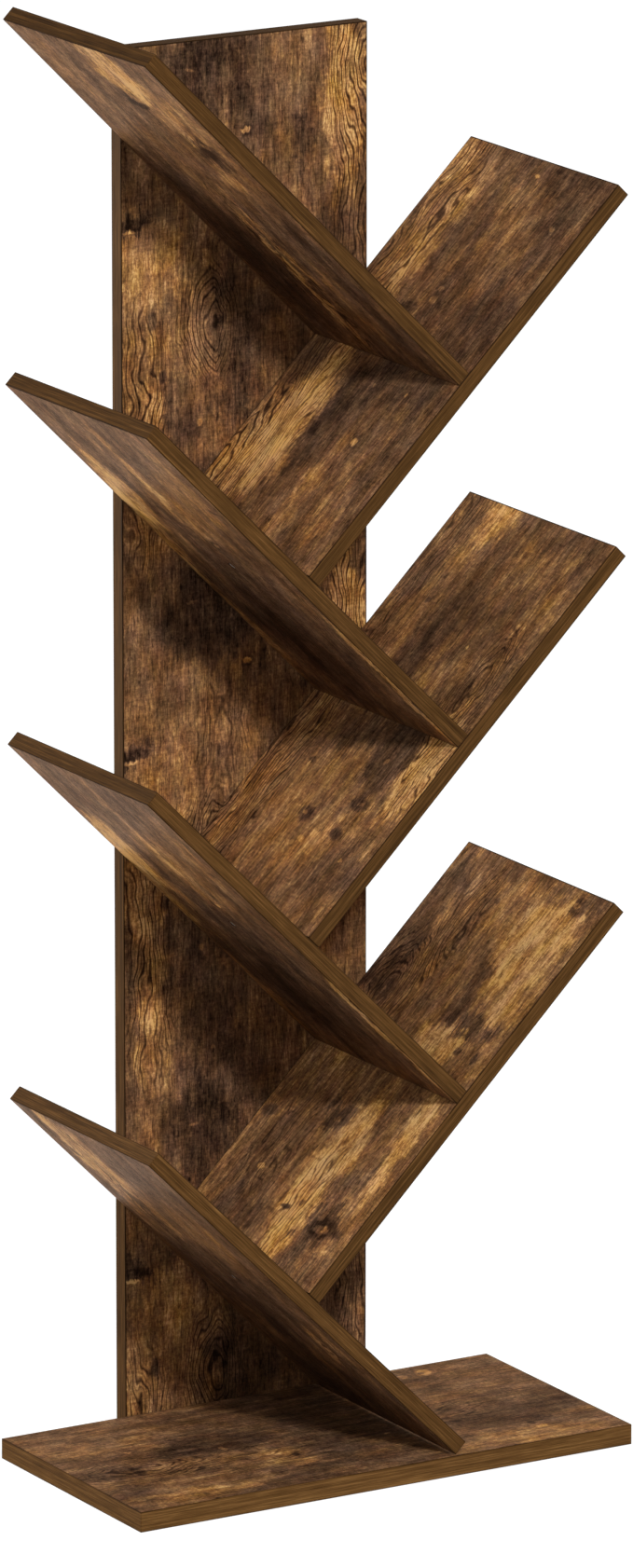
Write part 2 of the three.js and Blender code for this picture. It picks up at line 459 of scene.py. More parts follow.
HIGH_LEFT_PRINT = Print(
    blotches=Blotch.each(
        (76, 325, 32, 36, 1.0), (58, 290, 26, 44, 0.6), (50, 215, 22, 20, 0.5),
        (160, 310, 34, 44, 0.25), (90, 286, 20, 7, -0.9), (42, 240, 22, 18, -0.9),
        # The darkening at across 160, along 120 is painted shade on the underside's lower part beside the
        # panel.
        (100, 110, 22, 90, 0.2), (60, 150, 50, 40, -0.4), (160, 120, 34, 120, -1.0),
        (108, 90, 7, 100, 1.0), (88, 120, 6, 80, 0.8), (30, 60, 14, 60, -0.5), (60, 70, 8, 60, 0.5),
        (20, 270, 16, 60, 0.5), (130, 300, 10, 50, -0.5), (24, 110, 20, 70, -0.6),
    ),
    marks=Blotch.each(
        (88, 286, 16, 5, -1.24), (44, 243, 12, 8, -0.87), (38, 252, 6, 4, 1.12), (56, 248, 5, 3, 0.99),
    ),
    whorls=Whorl.each(
        (108, 100, 34, 120, 0.8, 0.9), (45, 240, 26, 30, 2.0, 0.5),
    ),
)

MIDDLE_LEFT_PRINT = Print(
    blotches=Blotch.each(
        (172, 235, 28, 46, 1.1), (188, 185, 14, 66, 1.1), (168, 165, 12, 50, 0.4),
        (98, 240, 22, 46, 0.45), (60, 250, 30, 50, 0.3), (40, 220, 12, 34, -0.6),
        # The darkening at across 100, along 110 is painted shade over the underside's lower part.
        (142, 240, 8, 30, -0.6), (120, 215, 20, 24, -0.4), (100, 110, 80, 100, -0.9),
        (4, 80, 8, 90, 1.2), (64, 90, 10, 70, 0.5), (124, 70, 14, 80, -0.5), (150, 150, 12, 60, 0.7),
        (188, 60, 10, 60, 0.7), (104, 290, 8, 70, 0.5), (28, 290, 14, 70, 0.4), (70, 320, 8, 60, -0.4),
        (150, 320, 10, 40, -0.4),
    ),
    marks=Blotch.each(
        (88, 202, 8, 5, -0.74), (86, 202, 5, 3, 1.49), (20, 262, 5, 3, -0.87),
    ),
    whorls=Whorl.each(
        (12, 110, 18, 100, 0.6, 0.7), (170, 150, 22, 90, 0.6, 0.7),
    ),
)

LOW_LEFT_PRINT = Print(
    blotches=Blotch.each(
        (148, 302, 36, 68, 0.95), (132, 270, 6, 70, 0.5), (164, 290, 7, 80, 0.5),
        (70, 240, 26, 40, 0.3), (65, 110, 26, 44, 0.5), (60, 300, 50, 40, -0.4),
        # The darkenings at across 110, along 150 and at across 120, along 40 are painted shade over the
        # underside's lower part.
        (140, 245, 10, 30, -0.6), (110, 150, 80, 70, -0.8), (30, 60, 40, 50, -0.4),
        (120, 40, 70, 60, -0.8), (96, 60, 10, 70, 0.7), (20, 100, 10, 60, 0.5),
        (150, 110, 10, 70, 0.6), (120, 230, 6, 60, 0.5), (40, 270, 8, 70, 0.4), (52, 108, 8, 40, 0.5),
        (176, 330, 8, 60, -0.6),
    ),
    whorls=Whorl.each(
        (145, 280, 24, 80, 0.8, 0.7), (60, 100, 30, 50, 1.4, 0.6),
    ),
)

LEFT_PRINTS = (HIGH_LEFT_PRINT, MIDDLE_LEFT_PRINT, LOW_LEFT_PRINT)

BASE_PRINT = Print(
    blotches=Blotch.each(
        (58, 75, 46, 90, 0.3), (16, 60, 16, 56, 0.55), (60, 155, 22, 30, 0.35), (40, 215, 12, 24, 0.5),
        (14, 325, 20, 80, 0.5), (135, 62, 20, 30, 0.4), (150, 20, 20, 30, 0.3),
        (125, 320, 18, 50, 0.12), (112, 120, 26, 52, -0.9), (84, 22, 14, 26, -0.5),
        (26, 150, 14, 34, -0.5), (45, 20, 14, 30, -0.6), (60, 190, 44, 34, -0.45),
        # The darkening at across 130, along 218 is a painted shadow of the lowest left shelf on the base.
        (130, 218, 60, 36, -0.4), (66, 340, 26, 60, -0.75), (95, 388, 30, 24, -0.6),
        (8, 110, 10, 80, -0.4), (180, 250, 20, 90, -0.3),
    ),
    marks=Blotch.each(
        (181, 336, 9, 7, 0.9), (178, 318, 5, 4, 0.7), (180, 333, 3, 3, -0.9), (40, 342, 4, 4, -0.99),
        (30, 345, 3, 6, 0.74), (98, 122, 6, 3, 0.99), (60, 160, 5, 4, -0.87), (82, 44, 12, 5, -0.87),
        (122, 60, 3, 3, 0.99), (70, 240, 2, 3, 0.87),
    ),
    whorls=Whorl.each(
        (85, 50, 34, 52, -5.0, 1.2), (66, 140, 28, 70, 0.5, 0.4), (90, 290, 30, 50, 2.0, 0.6),
    ),
    heart=85.0,
)


@dataclass(frozen=True)
class Laminate:
    """The rustic wood print on the faces of every board. Lengths but the relief are in mm."""

    shades: Shades = (
        (0.00, srgb(24, 13, 6)),
        (0.18, srgb(46, 29, 17)),
        (0.36, srgb(72, 48, 29)),
        (0.50, srgb(93, 63, 37)),
        (0.64, srgb(116, 80, 48)),
        (0.80, srgb(153, 108, 61)),
        (0.92, srgb(185, 137, 80)),
        (1.00, srgb(212, 166, 102)),
    )
    # Keeps the features of a board's two faces apart
    far_face: float = 500.0
    face_shift: Triple = (1.7, 0.9, 0.0)
    wander_across: Layer = Layer(24, 30, 7, 0.72, 20.0)
    wander_along: Layer = Layer(20, 36, 7, 0.72, 36.0, (311.0, 127.0, 0.0))
    brush: Layer = Layer(3.2, 60, 3, 0.7, 14.0, (311.0, 127.0, 0.0))
    fray: Layer = Layer(5, 11, 6, 0.78)
    fray_depth: Slope = (-0.15, 0.5, 0.0, 0.7)
    mark_shares: Triple = (0.20, 0.12, 0.5)
    blotch_edge: Pair = (1.12, 0.6)
    # Growth lines
    line_spacing: float = 4.6
    heart_width: float = 8.0
    whorl_bend: Pair = (1.3, 0.0)
    whorl_edge: Pair = (1.15, 0.6)
    sway: Layer = Layer(26, 80, 1, 0.4, 2.4, (5.0, 203.0, 0.0))
    ripple: Layer = Layer(9, 20, 1, 0.4, 0.8)
    bold_edge: Pair = (0.26, 0.46)
    bold_wear: float = 0.10
    bold_everywhere: float = 0.08
    fine_repeat: float = 2.0
    fine_edge: Pair = (0.2, 0.5)
    fine_wear: Slope = (-0.1, 0.35, 0.12, 0.6)
    fine_share: float = 0.45
    line_depth: Slope = (-0.2, 0.9, 0.24, 0.42)
    # Tone and colour
    broad: Layer = Layer(34, 60, 5, 0.65, 0.20)
    patchy: Layer = Layer(11, 20, 6, 0.72, 0.38, (71.0, 40.0, 0.0))
    streaks: Layer = Layer(6.5, 110, 3, 0.6, 0.19, (17.0, 90.0, 0.0))
    fibres: Layer = Layer(2.3, 26, 4, 0.75, 0.30)
    mottle: Layer = Layer(2.2, 2.8, 5, 0.85, 0.38)
    saw_marks: Layer = Layer(14, 1.8, 3, 0.7, 0.13)
    pores: Layer = Layer(1.2, 9, 2, 0.5, -0.20)
    pore_edge: Pair = (0.18, 0.34)
    worn_share: float = 0.36
    stained_share: float = 0.24
    middle_tone: float = 0.572
    warmth: Slope = (-0.6, 1.0, 0.88, 0.99)
    warm_patches: Layer = Layer(21, 33, 3, 0.6, 0.14)
    red_patches: Layer = Layer(13, 26, 4, 0.7, 0.018, (207.0, 13.0, 0.0))
    # Surface
    fibre_height: float = 0.5
    mottle_height: float = 0.35
    line_height: float = -0.5
    roughness: Slope = (0.1, 0.8, 0.44, 0.32)
    fibre_roughness: float = 0.10
    shine: float = 0.006
    glaze: float = 0.18
    glaze_tint: Colour = (1.0, 0.60, 0.34)
    relief: float = 0.12 * MM


@dataclass(frozen=True)
class Banding:
    """The plainer strip glued round a board's edges. Lengths but the relief are in mm."""

    shades: Shades = (
        (0.0, srgb(38, 24, 11)),
        (0.4, srgb(70, 47, 23)),
        (0.7, srgb(98, 68, 36)),
        (1.0, srgb(134, 98, 56)),
    )
    end_depth: float = 0.7
    # Tells the two strips of a pair apart, which lie further from each other than this
    strip_grid: float = 120.0
    strip_shift: float = 3.7
    streaks: Layer = Layer(1.7, 260, 3, 0.7, 0.42)
    fine: Layer = Layer(0.6, 30, 3, 0.65, 0.45)
    cloud: Layer = Layer(9, 48, 3, 0.6, 0.12)
    rim: float = 1.0
    rim_tone: float = -0.42
    # Painted shade: the strips on a board's ends are made darker.
    end_painted_shade: float = -0.1
    roughness: float = 0.62
    streak_roughness: float = 0.12
    fine_height: float = 0.5
    shine: float = 0.012
    relief: float = 0.05 * MM


@dataclass(frozen=True)
class Steel:
    """Dull zinc on the screws. Its stains and its grit are given by a noise's scale and detail."""

    light: Colour = srgb(176, 174, 168)
    dark: Colour = srgb(112, 110, 106)
    stains: Pair = (0.9, 4.0)
    grit: Pair = (6.0, 3.0)
    roughness: Slope = (0.3, 0.7, 0.32, 0.55)
    shine: float = 0.5
    relief: float = 0.03 * MM


class Patterns:
    """The node groups that the finishes share, each built once."""

    def __init__(self, laminate: Laminate, banding: Banding) -> None:
        """Builds the groups.

        Args:
            laminate: The print on the boards' faces.
            banding: The strip on their edges.
        """
        self.laminate = laminate
        self.banding = banding
        self.place = self._build_place()
        self.blotch = self._build_blotch()
        self.whorl = self._build_whorl()
        self.decor = self._build_decor()
        self.strip = self._build_strip()

    def _build_place(self) -> Tree:
        """Gives the place on a face: for the listed features, and for the print's noise.

        Returns:
            The group.
        """
        look = self.laminate
        recipe = Recipe(
            "place_on_face",
            {"Vector": VECTOR, "Seed": VECTOR, "Low": VALUE, "High": VALUE, "Heart": VALUE},
            {"Plain": VECTOR, "Drawn": VECTOR, "Marked": VECTOR, "Print": VECTOR, "Rings": VALUE},
        )
        x, y, z = recipe.split(recipe.given["Vector"])
        far = recipe.math("MULTIPLY", recipe.math("SIGN", z), look.far_face)
        wrapped = recipe.math("WRAP", y, recipe.given["High"], recipe.given["Low"])
        plain = recipe.join(x, wrapped, far)
        shift = recipe.vector("MULTIPLY", recipe.join(far, far), look.face_shift)
        flat = recipe.vector("ADD", recipe.vector("ADD", recipe.join(x, y), shift), recipe.given["Seed"])
        across, along, brushed = (
            recipe.math("MULTIPLY", recipe.noise(flat, layer), layer.amount)
            for layer in (look.wander_across, look.wander_along, look.brush))
        frayed = recipe.ease(recipe.noise(flat, look.fray), *look.fray_depth)
        moved = recipe.join(across, recipe.math("ADD", along, brushed), frayed)
        drawn = recipe.vector("ADD", plain, moved)
        marked = recipe.vector("ADD", plain, recipe.vector("MULTIPLY", moved, look.mark_shares))
        from_heart = recipe.join(recipe.math("SUBTRACT", x, recipe.given["Heart"]), look.heart_width)
        rings = recipe.math("DIVIDE", recipe.vector("LENGTH", from_heart), look.line_spacing)
        return recipe.close(Plain=plain, Drawn=drawn, Marked=marked, Print=flat, Rings=rings)

    @staticmethod
    def _distance(recipe: Recipe) -> Socket:
        """Gives the distance from a feature's centre, as a share of its reach.

        Args:
            recipe: A group with the inputs Place, Centre and Reach.

        Returns:
            The share, 1 at the feature's edge.
        """
        away = recipe.vector("SUBTRACT", recipe.given["Place"], recipe.given["Centre"])
        return recipe.vector("LENGTH", recipe.vector("DIVIDE", away, recipe.given["Reach"]))

    def _build_blotch(self) -> Tree:
        """Makes a place lighter or darker.

        Returns:
            The group.
        """
        recipe = Recipe(
            "blotch",
            {"Tone": VALUE, "Place": VECTOR, "Centre": VECTOR, "Reach": VECTOR, "Strength": VALUE},
            {"Tone": VALUE},
        )
        mask = recipe.ease(self._distance(recipe), *self.laminate.blotch_edge)
        tone = recipe.add(recipe.given["Tone"], mask, recipe.given["Strength"])
        return recipe.close(Tone=tone)

    def _build_whorl(self) -> Tree:
        """Brings out the growth lines at a place and bends them round it.

        Returns:
            The group.
        """
        recipe = Recipe(
            "whorl",
            {"Rings": VALUE, "Lines": VALUE, "Place": VECTOR, "Centre": VECTOR,
             "Reach": VECTOR, "Turns": VALUE, "Strength": VALUE},
            {"Rings": VALUE, "Lines": VALUE},
        )
        length = self._distance(recipe)
        bend = recipe.ease(length, *self.laminate.whorl_bend)
        rings = recipe.add(recipe.given["Rings"], bend, recipe.given["Turns"])
        mask = recipe.ease(length, *self.laminate.whorl_edge)
        lines = recipe.add(recipe.given["Lines"], mask, recipe.given["Strength"])
        return recipe.close(Rings=rings, Lines=lines)

    @staticmethod
    def _peak(recipe: Recipe, phase: Socket) -> Socket:
        """Gives a wave that is 0.5 once for each whole number of the phase and 0 in between."""
        return recipe.math("ABSOLUTE", recipe.math("SUBTRACT", recipe.math("FRACT", phase), 0.5))

    def _growth_lines(self, recipe: Recipe, patchy: Socket) -> Socket:
        """Draws bold growth lines at the whorls, and fine ones there and in patches.

        Args:
            recipe: A group with the inputs Print, Tone, Rings and Lines.
            patchy: Noise that is high in the patches.

        Returns:
            How dark the lines are.
        """
        look = self.laminate
        place = recipe.given["Print"]
        strength = recipe.given["Lines"]
        phase = recipe.vary(recipe.vary(recipe.given["Rings"], place, look.sway), place, look.ripple)
        crest = recipe.add(self._peak(recipe, phase), patchy, look.bold_wear)
        shown = recipe.math("ADD", strength, look.bold_everywhere, clamp=True)
        bold = recipe.math("MULTIPLY", recipe.ease(crest, *look.bold_edge), shown)
        crest = self._peak(recipe, recipe.math("MULTIPLY", phase, look.fine_repeat))
        shown = recipe.math("ADD", strength, recipe.ease(patchy, *look.fine_wear), clamp=True)
        fine = recipe.math("MULTIPLY", recipe.ease(crest, *look.fine_edge), shown)
        lines = recipe.add(bold, fine, look.fine_share)
        return recipe.math("MULTIPLY", lines, recipe.ease(recipe.given["Tone"], *look.line_depth))

    def _build_decor(self) -> Tree:
        """Turns the features of a face into the printed wood.

        Returns:
            The group.
        """
        look = self.laminate
        recipe = Recipe(
            "rustic_print",
            {"Print": VECTOR, "Tone": VALUE, "Rings": VALUE, "Lines": VALUE},
            FINISH,
        )
        place = recipe.given["Print"]
        grain = {layer: recipe.noise(place, layer) for layer in (
            look.broad, look.patchy, look.streaks, look.fibres, look.mottle, look.saw_marks)}
        pores = recipe.ease(recipe.noise(place, look.pores), *look.pore_edge)
        lines = self._growth_lines(recipe, grain[look.patchy])

        worn, stained = (recipe.math("MULTIPLY", recipe.given["Tone"], share)
                         for share in (look.worn_share, look.stained_share))
        tone = recipe.math("ADD", recipe.math("MAXIMUM", worn, stained), look.middle_tone)
        for layer, noise in grain.items():
            tone = recipe.add(tone, noise, layer.amount)
        tone = recipe.add(tone, pores, look.pores.amount)
        tone = recipe.math("SUBTRACT", tone, lines)
        warmth = recipe.vary(recipe.ease(recipe.given["Tone"], *look.warmth), place, look.warm_patches)
        hue = recipe.vary(NEUTRAL_HUE, place, look.red_patches)
        colour = recipe.node("ShaderNodeHueSaturation",
                             {"Color": recipe.shade(tone, look.shades), "Hue": hue,
                              "Saturation": warmth})

        fibres = grain[look.fibres]
        height = recipe.math("MULTIPLY", grain[look.mottle], look.mottle_height)
        height = recipe.add(height, fibres, look.fibre_height)
        height = recipe.add(height, lines, look.line_height)
        rough = recipe.add(recipe.ease(tone, *look.roughness), fibres, look.fibre_roughness)
        return recipe.close(Colour=colour.outputs[0], Roughness=rough, Height=height)

    def _build_strip(self) -> Tree:
        """Makes the edge banding, with streaks along each strip.

        Returns:
            The group.
        """
        look = self.banding
        recipe = Recipe(
            "edge_strip",
            {"Vector": VECTOR, "Half length": VALUE, "Half thickness": VALUE,
             "Seed": VALUE, "Tone": VALUE},
            FINISH,
        )
        x, y, z = recipe.split(recipe.given["Vector"])
        middle = recipe.math("SUBTRACT", y, recipe.given["Half length"])
        inward = recipe.math("SUBTRACT", recipe.given["Half length"], recipe.math("ABSOLUTE", middle))
        at_end = recipe.math("LESS_THAN", inward, look.end_depth)
        run, which = (
            recipe.node("ShaderNodeMix", {0: at_end, 2: on_side, 3: on_end}, data_type="FLOAT").outputs[0]
            for on_side, on_end in ((y, x), (x, y)))
        strip = recipe.math("SNAP", recipe.math("ADD", which, look.strip_grid / 2), look.strip_grid)
        along = recipe.math("ADD", run, recipe.given["Seed"])
        place = recipe.join(recipe.add(z, strip, look.strip_shift), along)
        streaks, fine, cloud = (recipe.noise(place, layer)
                                for layer in (look.streaks, look.fine, look.cloud))
        depth = recipe.math("SUBTRACT", recipe.given["Half thickness"], recipe.math("ABSOLUTE", z))
        rim = recipe.ease(depth, look.rim, 0.0)
        tone = recipe.given["Tone"]
        # The darkening of the end faces is painted shade.
        for part, amount in ((streaks, look.streaks.amount), (fine, look.fine.amount),
                             (cloud, look.cloud.amount), (rim, look.rim_tone), (at_end, look.end_painted_shade)):
            tone = recipe.add(tone, part, amount)
        colour = recipe.shade(tone, look.shades)
        rough = recipe.add(look.roughness, streaks, look.streak_roughness)
        height = recipe.add(streaks, fine, look.fine_height)
        return recipe.close(Colour=colour, Roughness=rough, Height=height)


@dataclass(frozen=True)
class Spread:
    """How a board lies: a corner of its middle plane, and the ways across and along it."""

    corner: Vector
    across: Vector
    along: Vector

    @property
    def turn(self) -> Matrix:
        """Turns the board's own directions into the frame's."""
        return Matrix((self.across, self.along, self.across.cross(self.along))).transposed()


@dataclass
class Board:
    """A laminated board with its edge band. Print places are in mm from the spread's corner.

    The seen side is 1 if the seen print is on the face that the spread's third direction points
    out of, and else -1.
    """

    name: str
    spread: Spread
    length: float
    thick: float
    seen: Print
    hidden: Print
    seen_side: int
    seed: Pair
    band_tone: float
    edge_radius: float = 0.4 * MM
    edge_steps: int = 3
    merge_reach: float = 0.001 * MM
    flat_angle: float = math.radians(1)

    def build(self, patterns: Patterns) -> list[Piece]:
        """Dresses the core and makes the band.

        Args:
            patterns: The shared node groups.

        Returns:
            The pieces.
        """
        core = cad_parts[self.name]
        dress(core, self.face_material(patterns))
        band = self.soft_band()
        dress(band, self.band_material(patterns))
        return [core, band]

    def soft_band(self) -> Piece:
        """Copies the edge band and rounds its outer edges.

        Returns:
            The band.
        """
        node = f"{self.name}_edge_band"
        mesh = bmesh.new()
        mesh.from_mesh(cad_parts[node].data)
        bmesh.ops.remove_doubles(mesh, verts=mesh.verts, dist=self.merge_reach)
        bmesh.ops.dissolve_limit(mesh, angle_limit=self.flat_angle, verts=mesh.verts, edges=mesh.edges)
        bmesh.ops.bevel(mesh, geom=self.outer_edges(mesh), offset=self.edge_radius,
                        segments=self.edge_steps, profile=0.5, affect="EDGES", material=-1,
                        clamp_overlap=True)
        bmesh.ops.recalc_face_normals(mesh, faces=mesh.faces)
        band = finish_mesh(mesh, f"{self.name}_band")
        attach(band, ROOT)
        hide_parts(node)
        return band

    def outer_edges(self, mesh: bmesh.types.BMesh) -> list[bmesh.types.BMEdge]:
        """Finds the twelve lines of the band's outer box, where two of its planes meet.

        Args:
            mesh: The merged band.

        Returns:
            The edges on those lines.
        """
        back = self.spread.turn.transposed()
        places = {vert: back @ vert.co for vert in mesh.verts}
        lows = [min(place[axis] for place in places.values()) for axis in range(3)]
        highs = [max(place[axis] for place in places.values()) for axis in range(3)]
        slack = 0.01 * MM

        def planes(edge: bmesh.types.BMEdge) -> int:
            """Counts the outer planes that hold the whole edge."""
            ends = [places[vert] for vert in edge.verts]
            return sum(
                all(abs(end[axis] - limit[axis]) < slack for end in ends)
                for axis in range(3) for limit in (lows, highs)
            )

        return [edge for edge in mesh.edges if planes(edge) >= 2]

    def on_board(self, wiring: Wiring) -> Socket:
        """Gives the place on the board in mm, across, along and through it.

        Args:
            wiring: The material's nodes.

        Returns:
            The place.
        """
        place = wiring.node("ShaderNodeTexCoord").outputs["Object"]
        inputs = {"Vector": place, "Location": self.spread.corner,
                  "Rotation": self.spread.turn.to_euler(), "Scale": (MM, MM, MM)}
        return wiring.node("ShaderNodeMapping", inputs, vector_type="TEXTURE").outputs[0]

    def face_material(self, patterns: Patterns) -> Material:
        """Makes the board's printed faces.

        Args:
            patterns: The shared node groups.

        Returns:
            The material.
        """
        look = patterns.laminate
        material, wiring = new_material(f"{self.name}_print")
        inputs = {"Vector": self.on_board(wiring), "Seed": (*self.seed, 0.0), "Low": self.seen.low,
                  "High": self.seen.high, "Heart": self.seen.heart}
        places = wiring.group(patterns.place, inputs)
        # The seen face's tone lift: painted light on the panel and on the right-leaning shelves' tops.
        tone: Feed = self.seen.tone
        rings: Feed = places["Rings"]
        lines: Feed = 0.0
        for side, face in ((self.seen_side, self.seen), (-self.seen_side, self.hidden)):
            far = side * look.far_face
            for place, spots in (("Drawn", face.blotches), ("Marked", face.marks)):
                for spot in face.carried_over(spots):
                    inputs = {"Tone": tone, "Place": places[place], "Strength": spot.tone,
                              **spot.limits(far)}
                    tone = wiring.group(patterns.blotch, inputs)["Tone"]
            for spot in face.carried_over(face.whorls):
                inputs = {"Rings": rings, "Lines": lines, "Place": places["Plain"],
                          "Turns": spot.turns, "Strength": spot.strength, **spot.limits(far)}
                whorl = wiring.group(patterns.whorl, inputs)
                rings, lines = whorl["Rings"], whorl["Lines"]
        inputs = {"Print": places["Print"], "Tone": tone, "Rings": rings, "Lines": lines}
        decor = wiring.group(patterns.decor, inputs)
        close_material(wiring, decor, look.relief, look.shine, look.glaze, look.glaze_tint)
        return material

    def band_material(self, patterns: Patterns) -> Material:
        """Makes the board's edge banding.

        Args:
            patterns: The shared node groups.

        Returns:
            The material.
        """
        look = patterns.banding
        material, wiring = new_material(f"{self.name}_banding")
        inputs = {"Vector": self.on_board(wiring), "Half length": self.length / MM / 2,
                  "Half thickness": self.thick / MM / 2, "Seed": sum(self.seed), "Tone": self.band_tone}
        close_material(wiring, wiring.group(patterns.strip, inputs), look.relief, look.shine)
        return material


def new_material(name: str) -> tuple[Material, Wiring]:
    """Starts a material with an empty node tree.

    Args:
        name: The material's name.

    Returns:
        The material and its wiring.
    """
    material = bpy.data.materials.new(name)
    material.use_nodes = True
    material.node_tree.nodes.clear()
    return material, Wiring(material.node_tree)


def close_material(wiring: Wiring, surface: Sockets, relief: float, shine: float,
                   metal: float = 0.0, tint: Colour = WHITE) -> None:
    """Ends a material with its shader.

    Args:
        wiring: The material's nodes.
        surface: Sockets named Colour, Roughness and Height.
        relief: Depth of the surface's relief.
        shine: How strongly the surface reflects where it isn't metal.
        metal: Share of the surface that reflects as metal does.
        tint: Colour of that reflection at a low angle.
    """
    bump = wiring.node("ShaderNodeBump", {"Height": surface["Height"], "Distance": relief})
    inputs = {"Base Color": surface["Colour"], "Roughness": surface["Roughness"],
              "Specular IOR Level": shine, "Metallic": metal, "Specular Tint": opaque(tint),
              "Normal": bump.outputs[0]}
    shader = wiring.node("ShaderNodeBsdfPrincipled", inputs)
    wiring.node("ShaderNodeOutputMaterial", {"Surface": shader.outputs[0]})


def dress(piece: Piece, material: Material) -> None:
    """Gives a piece one material.

    Args:
        piece: The piece.
        material: Its material.
    """
    if piece.material_slots:
        for place in piece.material_slots:
            place.link = "DATA"
            place.material = material
    else:
        piece.data.materials.append(material)


def finish_mesh(mesh: bmesh.types.BMesh, name: str) -> Piece:
    """Turns a bmesh into an object in the scene.

    Args:
        mesh: The shape, in the frame's own coordinates.
        name: The piece's name.

    Returns:
        The object.
    """
    data = bpy.data.meshes.new(name)
    mesh.to_mesh(data)
    mesh.free()
    piece = bpy.data.objects.new(name, data)
    bpy.context.scene.collection.objects.link(piece)
    return piece


@dataclass
class Shelves:
    """The seven leaning shelves."""

    lean: float = math.radians(45)
    length: float = 350 * MM
    thick: float = 11.4 * MM
    front: float = -103.8 * MM
    foot_offset: float = 59.76 * MM
    first_foot: float = 19.03 * MM
    tier_rise: float = 128 * MM
    count: int = 7
    seed_step: Pair = (137.0, 411.0)
    lowest_band_tone: float = 0.525
    # Each shelf's band is darker than the one below it: painted shade, standing for the floor's bounce
    # light falling off with height.
    band_painted_shade_step: float = -0.024

    def boards(self) -> list[Board]:
        """Lists the shelves from the lowest to the highest."""
        return [self.board(tier) for tier in range(self.count)]

    def board(self, tier: int) -> Board:
        """Gives one shelf.

        Args:
            tier: 0 for the lowest shelf.

        Returns:
            The shelf.
        """
        leans_left = tier % 2 == 0
        side = -1 if leans_left else 1
        number = (self.count - 1 - tier) // 2
        corner = Vector((-side * self.foot_offset, self.front, self.first_foot + tier * self.tier_rise))
        along = Vector((side * math.cos(self.lean), 0.0, math.sin(self.lean)))
        top = RIGHT_PRINTS[number % len(RIGHT_PRINTS)]
        under = LEFT_PRINTS[(number + 1) // 2 % len(LEFT_PRINTS)]
        return Board(
            name=f"shelf_{'left' if leans_left else 'right'}_{number + 1}",
            spread=Spread(corner, Vector((0.0, 1.0, 0.0)), along),
            length=self.length,
            thick=self.thick,
            seen=under if leans_left else top,
            hidden=top if leans_left else under,
            seen_side=-1,
            seed=(self.seed_step[0] * tier, self.seed_step[1] * tier),
            # Higher shelves get darker bands, as painted shade.
            band_tone=self.lowest_band_tone + tier * self.band_painted_shade_step,
        )


@dataclass
class Uprights:
    """The back panel and the base that it stands behind."""

    panel_width: float = 198 * MM
    panel_height: float = 1000.75 * MM
    panel_front: float = 92.3 * MM
    panel_thick: float = 13.3 * MM
    base_width: float = 400 * MM
    base_front: float = -105.6 * MM
    base_thick: float = 14.7 * MM
    base_seed: Pair = (911.0, 77.0)
    base_band_tone: float = 0.69
    panel_seed: Pair = (503.0, 1290.0)
    panel_band_tone: float = 0.42

    def boards(self) -> list[Board]:
        """Lists the two boards.

        Returns:
            The base and the back panel.
        """
        x_axis, y_axis, z_axis = Matrix.Identity(3)
        base_corner = Vector((-self.base_width / 2, self.base_front, self.base_thick / 2))
        panel_corner = Vector((-self.panel_width / 2, self.panel_front + self.panel_thick / 2, 0.0))
        base = Board(
            name="base",
            spread=Spread(base_corner, y_axis, x_axis),
            length=self.base_width,
            thick=self.base_thick,
            seen=BASE_PRINT,
            hidden=MIDDLE_RIGHT_PRINT,
            seen_side=-1,
            seed=self.base_seed,
            band_tone=self.base_band_tone,
        )
        panel = Board(
            name="back_panel",
            spread=Spread(panel_corner, x_axis, z_axis),
            length=self.panel_height,
            thick=self.panel_thick,
            seen=PANEL_PRINT,
            hidden=PANEL_PRINT,
            seen_side=1,
            seed=self.panel_seed,
            band_tone=self.panel_band_tone,
        )
        return [base, panel]


@dataclass
class Screws:
    """All the screws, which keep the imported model's shape."""

    steel: Steel = Steel()

    def build(self) -> list[Piece]:
        """Dresses the screws.

        Returns:
            The pieces.
        """
        material = self.material()
        screws = [node for name, node in sorted(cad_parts.items()) if "screw" in name]
        for screw in screws:
            dress(screw, material)
        return screws

    def material(self) -> Material:
        """Makes dull zinc with fine grit and stains.

        Returns:
            The material.
        """
        look = self.steel
        material, wiring = new_material("screw_zinc")
        place = wiring.node("ShaderNodeTexCoord").outputs["Object"]
        scaled = wiring.node("ShaderNodeMapping", {"Vector": place, "Scale": (1 / MM,) * 3}).outputs[0]
        stains, grit = (
            wiring.node("ShaderNodeTexNoise", {"Vector": scaled, "Scale": scale, "Detail": detail})
            for scale, detail in (look.stains, look.grit))
        grit = grit.outputs[0]
        shades = {0: stains.outputs[0], 6: opaque(look.dark), 7: opaque(look.light)}
        colour = wiring.node("ShaderNodeMix", shades, data_type="RGBA").outputs[2]
        rough = wiring.ease(grit, *look.roughness)
        surface = {"Colour": colour, "Roughness": rough, "Height": grit}
        close_material(wiring, surface, look.relief, look.shine, metal=1.0)
        return material


@dataclass(frozen=True)
class Lamp:
    """A square soft lamp, aimed at the middle of the object. Angles are in degrees, power in W."""

    name: str
    azimuth: float
    height: float
    distance: float
    size: float
    power: float


